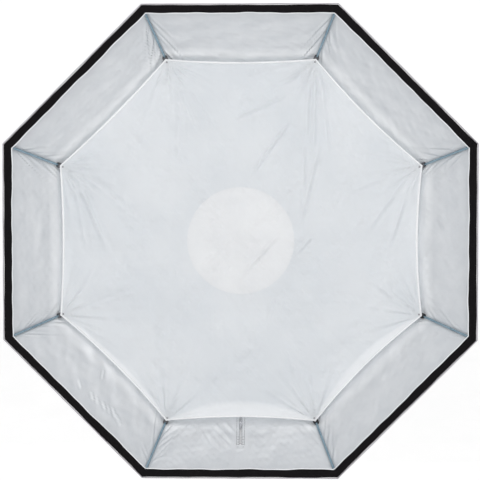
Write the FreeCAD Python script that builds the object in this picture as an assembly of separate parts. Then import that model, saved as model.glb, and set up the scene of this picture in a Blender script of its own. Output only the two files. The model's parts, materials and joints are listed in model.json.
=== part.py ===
import FreeCAD, Part
import math
import os

# Octabox, 1500 mm across flats, open at the front, on a turning speedring.
# Frame: the mount axis is Y, the mouth faces -Y, +Z is up, +X is right seen from the mouth.
# The origin is the centre of the mount insert's rear face. Below, "depth" is the distance
# forward from that face (depth = -y), "radius" and "angle" are measured about the axis.

os.makedirs("parts", exist_ok=True)

Vector = FreeCAD.Vector
ORIGIN = Vector(0, 0, 0)
FORWARD = Vector(0, -1, 0)

SIDES = 8
HALF_ANGLE = math.radians(180 / SIDES)
FLAT_RATIO = math.cos(HALF_ANGLE)
CORNER_ANGLES = [22.5 + 45 * index for index in range(SIDES)]
FLAT_NAMES = ["right", "upper_right", "top", "upper_left", "left", "lower_left", "bottom", "lower_right"]

# Rim
ACROSS_FLATS = 1500.0
RIM_DEPTH = 470.0
PIPING_RADIUS = 2.0
LOOP_WIDTH = 24.5
LOOP_THICKNESS = 1.6
LOOP_APOTHEM = ACROSS_FLATS / 2 - 5.0

# Mount insert: a collar with three bayonet lugs behind and a bearing flange in front
BORE_RADIUS = 45.0
COLLAR_RADIUS = 49.0
COLLAR_LENGTH = 23.6
BAYONET_RADIUS = 55.0
BAYONET_THICKNESS = 4.0
BAYONET_SPREAD = 28.0
FLANGE_RADIUS = 70.0
FLANGE_BACK = 16.0
FLANGE_FRONT = 20.0

# Speedring body
RING_BACK = 11.0
RING_SHOULDER = 20.6
RING_FRONT = 26.0
RING_RADIUS = 88.0
RING_BORE = COLLAR_RADIUS + 0.5
RECESS_RADIUS = FLANGE_RADIUS + 0.5
RECESS_BACK = FLANGE_BACK - 0.4
RETAINER_RADIUS = 80.0
RETAINER_THICKNESS = 3.0
SCREW_CIRCLE = 75.5
SCREW_COUNT = 4

# Rod hinges on the speedring
PIVOT_RADIUS = 88.0
PIVOT_DEPTH = 34.0
PIN_RADIUS = 2.0
PIN_HALF_LENGTH = 11.5
EAR_INNER = 6.0
EAR_OUTER = 10.0
EAR_FOOT = (81.0, 87.2)
KNUCKLE_RADIUS = 7.0
BRACKET_HALF_WIDTH = 5.7

# Rods: straight in the bracket's socket, then one long bend to the rim corner
ROD_RADIUS = 3.5
SOCKET_RADIUS = 6.0
SOCKET_FIT = 0.05
HUB_SLOPE = math.radians(16)
ROD_START = 26.0
BEND_START = 62.0
TIP_RADIUS = 786.5
TIP_DEPTH = 460.0
CAP_RADIUS = 5.0

# Cloth: gores lie just outside the rods
SEAM_OFFSET = 7.5
CLOTH = 1.2
GORE_START = 102.0
GORE_END_DEPTH = RIM_DEPTH - 0.4
SEAM_GAP = 0.4

# Inner baffle
BAFFLE_DEPTH = 324.0
BAFFLE_RADIUS = 637.0
HEM_WIDTH = 13.0
DISC_RADIUS = 174.0
SNAP_RADIUS = 4.0
SNAP_HEIGHT = 2.5
SNAP_INSET = 13.0
TAB_RADIUS = 636.0
TAB_HALF_WIDTH = 9.0
WEBBING = 1.8

# Zip in the bottom gore, along its middle
ZIP_INNER = 250.0
ZIP_OUTER = 657.0
ZIP_SLOT_HALF = 4.0
ZIP_TAPE_HALF = 13.5
SLIDER_APOTHEM = 597.0
BAIL_HEIGHT = 6.2

# Rotation lock on the right side of the speedring
STUD_RADIUS = 2.5
STUD_DEPTH = 17.5
KNOB_RADIUS = 11.0
KNOB_START = 104.0
KNOB_LENGTH = 16.0


def at(radius, depth, across=0.0):
    """A point in the plane of angle 0; across is measured towards the next angle."""
    return Vector(radius, -depth, across)


def turned(shape, degrees):
    """A copy of a shape made at angle 0, turned to another angle about the mount axis."""
    copy = shape.copy()
    copy.rotate(ORIGIN, FORWARD, degrees)
    return copy


def save(name, solids):
    """Write one node: one solid, or a group of separate ones."""
    shape = solids[0] if len(solids) == 1 else Part.makeCompound(solids)
    shape.exportStep("parts/" + name + ".step")


def fuse(shapes):
    joined = shapes[0].multiFuse(shapes[1:])
    return joined.removeSplitter()


def ring(inner, outer, back, front):
    """A flat ring about the mount axis between two depths."""
    height = front - back
    disc = Part.makeCylinder(outer, height, at(0, back), FORWARD)
    if inner <= 0:
        return disc
    return disc.cut(Part.makeCylinder(inner, height + 2, at(0, back - 1), FORWARD))


def block(radii, depths, half_width):
    """A block at angle 0, centred across."""
    low = Vector(radii[0], -depths[1], -half_width)
    return Part.makeBox(radii[1] - radii[0], depths[1] - depths[0], 2 * half_width, low)


def across_cylinder(radius, centre, inner, outer):
    """A cylinder lying across, between two offsets from the plane of angle 0."""
    return Part.makeCylinder(radius, outer - inner, at(centre[0], centre[1], inner), Vector(0, 0, 1))


def octagon(apothem, back, front):
    corner = apothem / FLAT_RATIO
    points = []
    for angle in CORNER_ANGLES:
        turn = math.radians(angle)
        points.append(Vector(corner * math.cos(turn), -back, corner * math.sin(turn)))
    points.append(points[0])
    return Part.Face(Part.makePolygon(points)).extrude(FORWARD * (front - back))


def wedge(gap):
    """The sector of one flat at angle 0, less a gap along both its corner planes."""
    near, far = 10.0, 900.0
    inset = gap / FLAT_RATIO
    near_half = near * math.tan(HALF_ANGLE) - inset
    far_half = far * math.tan(HALF_ANGLE) - inset
    below = -20.0
    points = [
        at(near, below, -near_half),
        at(far, below, -far_half),
        at(far, below, far_half),
        at(near, below, near_half),
        at(near, below, -near_half),
    ]
    return Part.Face(Part.makePolygon(points)).extrude(FORWARD * 600)


# The rod's centre line in its own plane, as (radius, depth) pairs

def along_hub(distance, offset=0.0):
    """A point on the straight part, from the pivot outwards; offset is away from the axis."""
    radius = PIVOT_RADIUS + distance * math.cos(HUB_SLOPE) + offset * math.sin(HUB_SLOPE)
    depth = PIVOT_DEPTH + distance * math.sin(HUB_SLOPE) - offset * math.cos(HUB_SLOPE)
    return radius, depth


BEND_FROM = along_hub(BEND_START)
CHORD = math.hypot(TIP_RADIUS - BEND_FROM[0], TIP_DEPTH - BEND_FROM[1])
CHORD_SLOPE = math.atan2(TIP_DEPTH - BEND_FROM[1], TIP_RADIUS - BEND_FROM[0])
BEND_TURN = 2 * (CHORD_SLOPE - HUB_SLOPE)
BEND_RADIUS = CHORD / (2 * math.sin(BEND_TURN / 2))
BEND_CENTRE = (
    BEND_FROM[0] - BEND_RADIUS * math.sin(HUB_SLOPE),
    BEND_FROM[1] + BEND_RADIUS * math.cos(HUB_SLOPE),
)
TIP_SLOPE = HUB_SLOPE + BEND_TURN


def along_bend(slope, offset=0.0):
    """The point of the bend where the rod has a given slope; offset is away from the axis."""
    reach = BEND_RADIUS + offset
    return BEND_CENTRE[0] + reach * math.sin(slope), BEND_CENTRE[1] - reach * math.cos(slope)


def slope_at_radius(radius):
    return math.asin((radius - BEND_CENTRE[0]) / BEND_RADIUS)


# Mount insert and speedring

def mount_insert():
    collar = ring(BORE_RADIUS, COLLAR_RADIUS, 0, COLLAR_LENGTH)
    flange = ring(COLLAR_RADIUS - 1, FLANGE_RADIUS, FLANGE_BACK, FLANGE_FRONT)
    pieces = [collar, flange]
    for index in range(3):
        lug = Part.makeCylinder(BAYONET_RADIUS, BAYONET_THICKNESS, ORIGIN, FORWARD, BAYONET_SPREAD)
        lug = lug.cut(Part.makeCylinder(COLLAR_RADIUS - 1, BAYONET_THICKNESS, ORIGIN, FORWARD))
        pieces.append(turned(lug, 120 * index + 90 - BAYONET_SPREAD / 2))
    return fuse(pieces)


def ears():
    """The clevis of one rod hinge, with the pin's bore."""
    centre = (PIVOT_RADIUS, PIVOT_DEPTH)
    pair = []
    for inner, outer in ((EAR_INNER, EAR_OUTER), (-EAR_OUTER, -EAR_INNER)):
        foot = Part.makeBox(EAR_FOOT[1] - EAR_FOOT[0], PIVOT_DEPTH - RING_FRONT + 1, outer - inner,
                            Vector(EAR_FOOT[0], -PIVOT_DEPTH, inner))
        ear = foot.fuse(across_cylinder(KNUCKLE_RADIUS, centre, inner, outer))
        pair.append(ear.cut(across_cylinder(PIN_RADIUS + 0.04, centre, inner - 1, outer + 1)))
    return pair


def speedring_body():
    pieces = [
        ring(RING_BORE, RING_RADIUS, RING_BACK, RECESS_BACK),
        ring(RECESS_RADIUS, RING_RADIUS, RECESS_BACK, RING_SHOULDER),
        ring(RETAINER_RADIUS + 0.4, RING_RADIUS, RING_SHOULDER, RING_FRONT),
    ]
    for angle in CORNER_ANGLES:
        for ear in ears():
            pieces.append(turned(ear, angle))
    body = fuse(pieces)
    stud_hole = Part.makeCylinder(STUD_RADIUS + 0.08, 40, at(60, STUD_DEPTH), Vector(1, 0, 0))
    body = body.cut(stud_hole)
    for hole in screw_shanks(2.0, 13.0, RING_SHOULDER + 1):
        body = body.cut(hole)
    return body


def screw_shanks(radius, back, front):
    shanks = []
    for index in range(SCREW_COUNT):
        shank = Part.makeCylinder(radius, front - back, at(SCREW_CIRCLE, back), FORWARD)
        shanks.append(turned(shank, 45 + 360 / SCREW_COUNT * index))
    return shanks


def ring_retainer():
    plate = ring(RING_BORE, RETAINER_RADIUS, RING_SHOULDER, RING_SHOULDER + RETAINER_THICKNESS)
    for hole in screw_shanks(2.2, RING_SHOULDER - 1, RING_SHOULDER + RETAINER_THICKNESS + 1):
        plate = plate.cut(hole)
    return plate


def retainer_screws():
    """Four pan-head screws with a hexagon socket."""
    front = RING_SHOULDER + RETAINER_THICKNESS
    screws = []
    for index, shank in enumerate(screw_shanks(1.9, 14.0, front)):
        head = Part.makeCylinder(3.8, 2.2, at(SCREW_CIRCLE, front), FORWARD)
        points = []
        for corner in range(7):
            turn = math.radians(60 * corner)
            points.append(at(SCREW_CIRCLE + 1.5 * math.cos(turn), front + 1.0, 1.5 * math.sin(turn)))
        socket = Part.Face(Part.makePolygon(points)).extrude(FORWARD * 2)
        screws.append(shank.fuse(turned(head.cut(socket), 45 + 360 / SCREW_COUNT * index)))
    return screws


def hinge_pins():
    pin = across_cylinder(PIN_RADIUS, (PIVOT_RADIUS, PIVOT_DEPTH), -PIN_HALF_LENGTH, PIN_HALF_LENGTH)
    return [turned(pin, angle) for angle in CORNER_ANGLES]


def lock_stud():
    """The threaded stud that presses on the insert's flange."""
    length = KNOB_START + 8 - (FLANGE_RADIUS + 0.8)
    return Part.makeCylinder(STUD_RADIUS, length, at(FLANGE_RADIUS + 0.8, STUD_DEPTH), Vector(1, 0, 0))


def lock_knob():
    outward = Vector(1, 0, 0)
    knob = Part.makeCylinder(KNOB_RADIUS, KNOB_LENGTH, at(KNOB_START, STUD_DEPTH), outward)
    grooves = []
    for index in range(8):
        turn = math.radians(45 * index)
        reach = KNOB_RADIUS + 1.0
        place = at(KNOB_START + 3, STUD_DEPTH + reach * math.cos(turn), reach * math.sin(turn))
        grooves.append(Part.makeCylinder(2.6, KNOB_LENGTH, place, outward))
    for groove in grooves:
        knob = knob.cut(groove)
    return knob.cut(Part.makeCylinder(STUD_RADIUS, 8, at(KNOB_START, STUD_DEPTH), outward))


# Rods

def rod_bracket():
    """Knuckle, arm and socket, at angle 0."""
    centre = (PIVOT_RADIUS, PIVOT_DEPTH)
    direction = at(math.cos(HUB_SLOPE), math.sin(HUB_SLOPE))
    knuckle = across_cylinder(KNUCKLE_RADIUS, centre, -BRACKET_HALF_WIDTH, BRACKET_HALF_WIDTH)
    arm = Part.makeBox(BEND_START * 0.6, 11, 2 * BRACKET_HALF_WIDTH, Vector(0, -5.5, -BRACKET_HALF_WIDTH))
    arm.rotate(ORIGIN, Vector(0, 0, -1), math.degrees(HUB_SLOPE))
    arm.translate(at(*centre))
    socket = Part.makeCylinder(SOCKET_RADIUS, BEND_START - 20, at(*along_hub(20)), direction)
    bracket = fuse([knuckle, arm, socket])
    bracket = bracket.cut(across_cylinder(PIN_RADIUS + 0.06, centre, -20, 20))
    bore = Part.makeCylinder(ROD_RADIUS + SOCKET_FIT, BEND_START, at(*along_hub(ROD_START - 0.5)), direction)
    return bracket.cut(bore)


def rod():
    """One sprung rod, at angle 0."""
    direction = at(math.cos(HUB_SLOPE), math.sin(HUB_SLOPE))
    straight = Part.makeCylinder(ROD_RADIUS, BEND_START - ROD_START, at(*along_hub(ROD_START)), direction)
    section = Part.Face(Part.Wire(Part.makeCircle(ROD_RADIUS, at(*BEND_FROM), direction)))
    bend = section.revolve(at(*BEND_CENTRE), Vector(0, 0, -1), math.degrees(BEND_TURN))
    return fuse([straight, bend])


def rod_tip():
    """The moulded cap over the rod's outer end."""
    direction = at(math.cos(TIP_SLOPE), math.sin(TIP_SLOPE))
    tip = at(TIP_RADIUS, TIP_DEPTH)
    cap = Part.makeCylinder(CAP_RADIUS, 15, tip - direction * 11, direction)
    cap = cap.makeFillet(1.5, [cap.Edges[0]])
    return cap.cut(Part.makeCylinder(ROD_RADIUS + SOCKET_FIT, 11.2, tip - direction * 11, direction))


def corner_pocket():
    """The cloth pocket round one rod tip, open towards the hub."""
    direction = at(math.cos(TIP_SLOPE), math.sin(TIP_SLOPE))
    tip = at(TIP_RADIUS, TIP_DEPTH)
    outside = Part.makeCylinder(CAP_RADIUS + 1.6, 24, tip - direction * 18, direction)
    return outside.cut(Part.makeCylinder(CAP_RADIUS + 0.4, 23, tip - direction * 18, direction))


# Cloth

def profile_face(inner_offset, outer_offset):
    """The section of a cloth band along the middle of a flat, at angle 0."""
    sides = []
    for offset in (inner_offset, outer_offset):
        hub = along_hub(0, offset)
        start_depth = hub[1] + (GORE_START - hub[0]) * math.tan(HUB_SLOPE)
        tip = along_bend(TIP_SLOPE, offset)
        rim_radius = tip[0] + (GORE_END_DEPTH - tip[1]) / math.tan(TIP_SLOPE)
        points = [
            (GORE_START, start_depth),
            along_bend(HUB_SLOPE, offset),
            along_bend(HUB_SLOPE + BEND_TURN / 2, offset),
            tip,
            (rim_radius, GORE_END_DEPTH),
        ]
        sides.append([at(radius * FLAT_RATIO, depth) for radius, depth in points])
    edges = []
    for side in sides:
        edges.append(Part.LineSegment(side[0], side[1]).toShape())
        edges.append(Part.Arc(side[1], side[2], side[3]).toShape())
        edges.append(Part.LineSegment(side[3], side[4]).toShape())
    edges.append(Part.LineSegment(sides[0][0], sides[1][0]).toShape())
    edges.append(Part.LineSegment(sides[0][4], sides[1][4]).toShape())
    return Part.Face(Part.Wire(Part.__sortEdges__(edges)))


def band(inner_offset, outer_offset, low, high):
    """A cloth band between two offsets across, bent like the middle of a flat."""
    face = profile_face(inner_offset, outer_offset)
    face.translate(Vector(0, 0, low))
    return face.extrude(Vector(0, 0, high - low))


def gore():
    sheet = band(SEAM_OFFSET, SEAM_OFFSET + CLOTH, -330, 330)
    return sheet.common(wedge(SEAM_GAP))


def zip_length(low, high):
    return block((low, high), (0, RIM_DEPTH), 20)


def front_loop_strip():
    outer = octagon(LOOP_APOTHEM, RIM_DEPTH, RIM_DEPTH + LOOP_THICKNESS)
    return outer.cut(octagon(LOOP_APOTHEM - LOOP_WIDTH, RIM_DEPTH - 1, RIM_DEPTH + LOOP_THICKNESS + 1))


def edge_piping():
    apothem = ACROSS_FLATS / 2 - PIPING_RADIUS
    side = across_cylinder(PIPING_RADIUS, (apothem, RIM_DEPTH - 1.5), -400, 400).common(wedge(0))
    return fuse([turned(side, 45 * index) for index in range(SIDES)])


def baffle_hem():
    apothem = BAFFLE_RADIUS * FLAT_RATIO
    outer = octagon(apothem, BAFFLE_DEPTH - 1.2, BAFFLE_DEPTH + 1.2)
    return outer.cut(octagon(apothem - HEM_WIDTH, BAFFLE_DEPTH - 3, BAFFLE_DEPTH + 3))


def inner_baffle():
    apothem = BAFFLE_RADIUS * FLAT_RATIO - HEM_WIDTH - 0.3
    return octagon(apothem, BAFFLE_DEPTH - 0.6, BAFFLE_DEPTH + 0.6)


def baffle_snap():
    """The visible cap of the press stud that holds one corner to its tab."""
    foot = at(BAFFLE_RADIUS - SNAP_INSET, BAFFLE_DEPTH + 1.2)
    return Part.makeCylinder(SNAP_RADIUS, SNAP_HEIGHT, foot, FORWARD)


def baffle_tab():
    """A webbing tab: a loop round the rod and a tongue behind the baffle's corner."""
    slope = slope_at_radius(TAB_RADIUS)
    rod_point = along_bend(slope)
    direction = at(math.cos(slope), math.sin(slope))
    start = at(*rod_point) - direction * 8
    loop = Part.makeCylinder(ROD_RADIUS + WEBBING, 16, start, direction)
    tongue_back = BAFFLE_DEPTH - 4.4
    tongue = block((TAB_RADIUS - 34, TAB_RADIUS + 6), (tongue_back, BAFFLE_DEPTH - 2.2), TAB_HALF_WIDTH)
    neck = block((TAB_RADIUS - 6, TAB_RADIUS + 4), (rod_point[1], tongue_back + 1), 4.0)
    tab = fuse([loop, neck, tongue])
    return tab.cut(Part.makeCylinder(ROD_RADIUS + 0.4, 60, start - direction * 20, direction))


def rear_collar():
    """The cloth collar that closes the back round the speedring."""
    tube = ring(RING_RADIUS + 0.4, RING_RADIUS + 1.9, 12, 27)
    flange = ring(RING_RADIUS + 1, GORE_START, 25.5, 27)
    collar = tube.fuse(flange).removeSplitter()
    return collar.cut(Part.makeCylinder(STUD_RADIUS + 1.5, 20, at(80, STUD_DEPTH), Vector(1, 0, 0)))


# Zip

def zip_circle():
    """Centre and radius of the arc that the slider follows, in the middle of a flat."""
    ends = [along_bend(HUB_SLOPE, SEAM_OFFSET), along_bend(HUB_SLOPE + BEND_TURN / 2, SEAM_OFFSET),
            along_bend(TIP_SLOPE, SEAM_OFFSET)]
    points = [at(radius * FLAT_RATIO, depth) for radius, depth in ends]
    circle = Part.Arc(points[0], points[1], points[2]).toShape().Curve
    return circle.Center, circle.Radius


def zip_place(apothem):
    """Point on the gore's inner face and its slope, at angle 0."""
    centre, radius = zip_circle()
    slope = math.asin((apothem - centre.x) / radius)
    return apothem, -centre.y - radius * math.cos(slope), slope


def on_zip(shape):
    """Move a shape made flat about the origin (x outwards, -y into the box) to the slider's place."""
    apothem, depth, slope = zip_place(SLIDER_APOTHEM)
    shape.rotate(ORIGIN, Vector(0, 0, -1), math.degrees(slope))
    shape.translate(at(apothem, depth))
    return turned(shape, 270)


def zip_tapes():
    tapes = []
    for low, high in ((2.2, ZIP_TAPE_HALF), (-ZIP_TAPE_HALF, -2.2)):
        tape = band(SEAM_OFFSET + CLOTH + 0.4, SEAM_OFFSET + CLOTH + 1.2, low, high)
        tapes.append(turned(tape.common(zip_length(ZIP_INNER - 5, ZIP_OUTER + 5)), 270))
    return tapes


def zip_coil():
    coil = band(SEAM_OFFSET - 0.6, SEAM_OFFSET + 1.8, -1.8, 1.8)
    return turned(coil.common(zip_length(ZIP_INNER + 4, ZIP_OUTER - 4)), 270)


def zip_stops():
    bar = band(SEAM_OFFSET - 0.8, SEAM_OFFSET + 0.9, -3.6, 3.6)
    lengths = ((ZIP_INNER + 0.5, ZIP_INNER + 3.5), (ZIP_OUTER - 3.5, ZIP_OUTER - 0.5))
    return [turned(bar.common(zip_length(low, high)), 270) for low, high in lengths]


def zip_slider():
    """The top plate, its two side walls and the bail over them."""
    plate = Part.makeBox(15, 2.8, 10, Vector(-7.5, -3.8, -5))
    pieces = [plate]
    for low in (2.2, -3.4):
        pieces.append(Part.makeBox(13, 2.0, 1.2, Vector(-6.5, -1.7, low)))
    for low in (2.2, -3.4):
        pieces.append(Part.makeBox(2.4, BAIL_HEIGHT - 2.4, 1.2, Vector(-1.2, -BAIL_HEIGHT - 0.6, low)))
    pieces.append(Part.makeCylinder(0.9, 6.4, Vector(0, -BAIL_HEIGHT, -3.2), Vector(0, 0, 1)))
    return on_zip(fuse(pieces))


def zip_pull():
    barrel = Part.makeCylinder(1.9, 3.4, Vector(0, -BAIL_HEIGHT, -1.7), Vector(0, 0, 1))
    neck = Part.makeBox(6, 1.4, 3.4, Vector(0, -BAIL_HEIGHT - 0.7, -1.7))
    tongue = Part.makeBox(20, 1.4, 7, Vector(5, -BAIL_HEIGHT - 0.7, -3.5))
    pull = fuse([barrel, neck, tongue])
    pull = pull.cut(Part.makeCylinder(0.98, 10, Vector(0, -BAIL_HEIGHT, -5), Vector(0, 0, 1)))
    eye = Part.makeCylinder(1.8, 6, Vector(21, -BAIL_HEIGHT - 3, 0), Vector(0, 1, 0))
    return on_zip(pull.cut(eye))


def build():
    save("mount_insert", [mount_insert()])
    save("speedring_body", [speedring_body()])
    save("ring_retainer", [ring_retainer()])
    save("retainer_screws", retainer_screws())
    save("hinge_pins", hinge_pins())
    save("lock_stud", [lock_stud()])
    save("lock_knob", [lock_knob()])
    save("rear_collar", [rear_collar()])

    per_rod = {"rod_bracket": rod_bracket(), "rod": rod(), "rod_tip": rod_tip(), "baffle_tab": baffle_tab()}
    for index, angle in enumerate(CORNER_ANGLES):
        for name, shape in per_rod.items():
            save(name + "_" + str(index + 1), [turned(shape, angle)])
    pocket, snap = corner_pocket(), baffle_snap()
    save("corner_pockets", [turned(pocket, angle) for angle in CORNER_ANGLES])
    save("baffle_snaps", [turned(snap, angle) for angle in CORNER_ANGLES])

    plain_gore = gore()
    slot = block((ZIP_INNER, ZIP_OUTER), (0, RIM_DEPTH), ZIP_SLOT_HALF)
    for index, name in enumerate(FLAT_NAMES):
        shape = plain_gore.cut(slot) if name == "bottom" else plain_gore
        save("gore_" + name, [turned(shape, 45 * index)])
    save("front_loop_strip", [front_loop_strip()])
    save("edge_piping", [edge_piping()])
    save("inner_baffle", [inner_baffle()])
    save("baffle_hem", [baffle_hem()])
    save("centre_disc", [ring(0, DISC_RADIUS, BAFFLE_DEPTH + 1.0, BAFFLE_DEPTH + 2.0)])

    save("zip_tapes", zip_tapes())
    save("zip_coil", [zip_coil()])
    save("zip_stops", zip_stops())
    save("zip_slider", [zip_slider()])
    save("zip_pull", [zip_pull()])


build()
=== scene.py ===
import json
import math

import bmesh
import bpy
import numpy as np
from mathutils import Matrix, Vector


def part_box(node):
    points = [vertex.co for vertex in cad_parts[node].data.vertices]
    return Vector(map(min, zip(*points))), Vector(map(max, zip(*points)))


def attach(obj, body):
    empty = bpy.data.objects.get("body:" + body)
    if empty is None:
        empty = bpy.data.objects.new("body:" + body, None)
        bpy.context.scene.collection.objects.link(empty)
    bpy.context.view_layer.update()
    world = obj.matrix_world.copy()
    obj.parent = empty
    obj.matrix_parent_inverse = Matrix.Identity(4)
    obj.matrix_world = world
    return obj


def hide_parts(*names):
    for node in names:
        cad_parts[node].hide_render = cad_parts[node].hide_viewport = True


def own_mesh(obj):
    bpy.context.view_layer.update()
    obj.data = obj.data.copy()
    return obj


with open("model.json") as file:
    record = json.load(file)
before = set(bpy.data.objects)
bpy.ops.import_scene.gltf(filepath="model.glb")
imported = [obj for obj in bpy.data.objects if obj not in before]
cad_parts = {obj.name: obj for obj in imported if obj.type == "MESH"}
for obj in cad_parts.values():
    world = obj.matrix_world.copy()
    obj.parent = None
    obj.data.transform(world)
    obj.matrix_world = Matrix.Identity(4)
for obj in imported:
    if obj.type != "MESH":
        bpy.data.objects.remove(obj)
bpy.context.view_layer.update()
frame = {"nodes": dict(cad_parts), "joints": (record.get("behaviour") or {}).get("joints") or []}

# Octabox seen from its open front. Metres; +Z up, the mouth faces -Y, +X right from the front.
# "Depth" is the distance forward of the mount insert's rear face, so depth = -y.

NODES = frame["nodes"]
JOINTS = {joint["name"]: joint for joint in frame["joints"]}

SIDES = 8
HALF_ANGLE = math.pi / SIDES
FLAT_RATIO = math.cos(HALF_ANGLE)
HALF_TAN = math.tan(HALF_ANGLE)
FLAT_NAMES = ["right", "upper_right", "top", "upper_left", "left", "lower_left", "bottom", "lower_right"]

# Rod line and cloth, as the design has them
HUB_SLOPE = math.radians(16)
BEND_START = 0.062
TIP = (0.7865, 0.460)
SEAM_OFFSET = 0.0075
GORE_START = 0.102
CLOTH = 0.0012
RIM_BACK = -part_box("front_loop_strip")[1][1]
RIM_FRONT = -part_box("front_loop_strip")[0][1]
GORE_END_DEPTH = RIM_BACK - 0.0004
LOOP_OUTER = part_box("front_loop_strip")[1][0]
LOOP_WIDTH = 0.0243
PIPING_RADIUS = 0.002
PIPING_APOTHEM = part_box("edge_piping")[1][0] - PIPING_RADIUS
PIPING_DEPTH = -0.5 * (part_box("edge_piping")[0][1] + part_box("edge_piping")[1][1])

# Baffle
BAFFLE_DEPTH = -0.5 * (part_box("inner_baffle")[0][1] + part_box("inner_baffle")[1][1])
BAFFLE_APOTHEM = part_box("baffle_hem")[1][0] - 0.0023
BAFFLE_CORNER = BAFFLE_APOTHEM / FLAT_RATIO
BAFFLE_CLOTH = 0.0007
SNAP_RADIUS = BAFFLE_CORNER - 0.0090
# Tabs whose webbing is still black, and how far each tab's loop sits to one side of its rod
DARK_TABS = (7, 8)
TAB_LEAN = [0.0009, 0.0007, 0.0, -0.0007, -0.0008, 0.0003, 0.0014, 0.0014]
DISC_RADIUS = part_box("centre_disc")[1][2]
HEM_HALF_WIDTH = 0.0033
HEM_HALF_DEPTH = 0.0015
# How far each edge bows inwards, and how wide the turned-out crescent along it is
EDGE_BOW = {"right": 0.015, "upper_right": 0.012, "top": 0.010, "upper_left": 0.008,
            "left": 0.009, "lower_left": 0.013, "bottom": 0.016, "lower_right": 0.017}
EDGE_CURL = {"right": 0.006, "upper_right": 0.003, "top": 0.003, "upper_left": 0.003,
             "left": 0.003, "lower_left": 0.017, "bottom": 0.050, "lower_right": 0.032}

# Zip
ZIP_INNER = 0.250
ZIP_OUTER = 0.657
ZIP_SLOT_HALF = 0.0027
ZIP_HALF_WIDTH = 0.0135
BOX_STITCH_ROWS = (-0.030, -0.019, -0.009, 0.001, 0.0105)

# Each cloth panel rides with the nearer rod.
# Parts of a gore from the hub to the rim: name, apothem where it ends, spaces between its rows, share kept
KEEP_OUTER = 0.30
GORE_PARTS = [("hub", 0.140, 7, 0.87), ("shoulder", 0.215, 9, 0.72), ("middle", 0.340, 14, 0.55),
              ("outer", 0.500, 19, 0.42), ("rim", None, None, KEEP_OUTER)]
# The zip needs one part from end to end
ZIP_GORE_PARTS = [("hub", 0.140, 7, 0.87), ("shoulder", 0.235, 11, 0.72), ("rim", None, None, KEEP_OUTER)]

random = np.random.default_rng(7)


# ---------------------------------------------------------------- places

def direction(angle):
    return np.array([math.cos(angle), 0.0, math.sin(angle)])


def sideways(angle):
    return np.array([-math.sin(angle), 0.0, math.cos(angle)])


FORWARD = np.array([0.0, -1.0, 0.0])


def place(angle, radius, across, depth):
    """Points in the row frame, from arrays measured in the plane of one angle."""
    radius, across, depth = np.broadcast_arrays(radius, across, depth)
    return (radius[..., None] * direction(angle) + across[..., None] * sideways(angle)
            + depth[..., None] * FORWARD)


def pairs(u, v):
    """Two arrays side by side, as texture coordinates."""
    return np.stack(np.broadcast_arrays(u, v), axis=-1)


def inwards(angle, slope):
    """The way in from a gore whose profile has the given slope."""
    return place(angle, -np.sin(slope), 0 * slope, np.cos(slope))


def corner_angle(number):
    """Angle of rod 1 to 8."""
    return HALF_ANGLE + (number - 1) * 2 * HALF_ANGLE


def flat_angle(index):
    return index * 2 * HALF_ANGLE


def rod_beside(index, side):
    """Number of the rod at one side (-1 or 1) of a flat."""
    return index + 1 if side > 0 else (index - 1) % SIDES + 1


# ---------------------------------------------------------------- gore profile

pivot = JOINTS["fold_1"]["pos_m"]
PIVOT_RADIUS = math.hypot(pivot[0], pivot[2])
PIVOT_DEPTH = -pivot[1]


def hub_point(distance, offset):
    radius = PIVOT_RADIUS + distance * math.cos(HUB_SLOPE) + offset * math.sin(HUB_SLOPE)
    depth = PIVOT_DEPTH + distance * math.sin(HUB_SLOPE) - offset * math.cos(HUB_SLOPE)
    return np.array([radius, depth])


BEND_FROM = hub_point(BEND_START, 0)
CHORD = math.hypot(TIP[0] - BEND_FROM[0], TIP[1] - BEND_FROM[1])
CHORD_SLOPE = math.atan2(TIP[1] - BEND_FROM[1], TIP[0] - BEND_FROM[0])
BEND_TURN = 2 * (CHORD_SLOPE - HUB_SLOPE)
BEND_RADIUS = CHORD / (2 * math.sin(BEND_TURN / 2))
BEND_CENTRE = BEND_FROM + BEND_RADIUS * np.array([-math.sin(HUB_SLOPE), math.cos(HUB_SLOPE)])
TIP_SLOPE = HUB_SLOPE + BEND_TURN


def bend_point(slope, offset=0.0):
    return BEND_CENTRE + (BEND_RADIUS + offset) * np.array([math.sin(slope), -math.cos(slope)])


def circle_through(a, b, c):
    matrix = 2 * np.array([b - a, c - a])
    centre = np.linalg.solve(matrix, np.array([b @ b - a @ a, c @ c - a @ a]))
    return centre, float(np.linalg.norm(a - centre))


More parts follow.
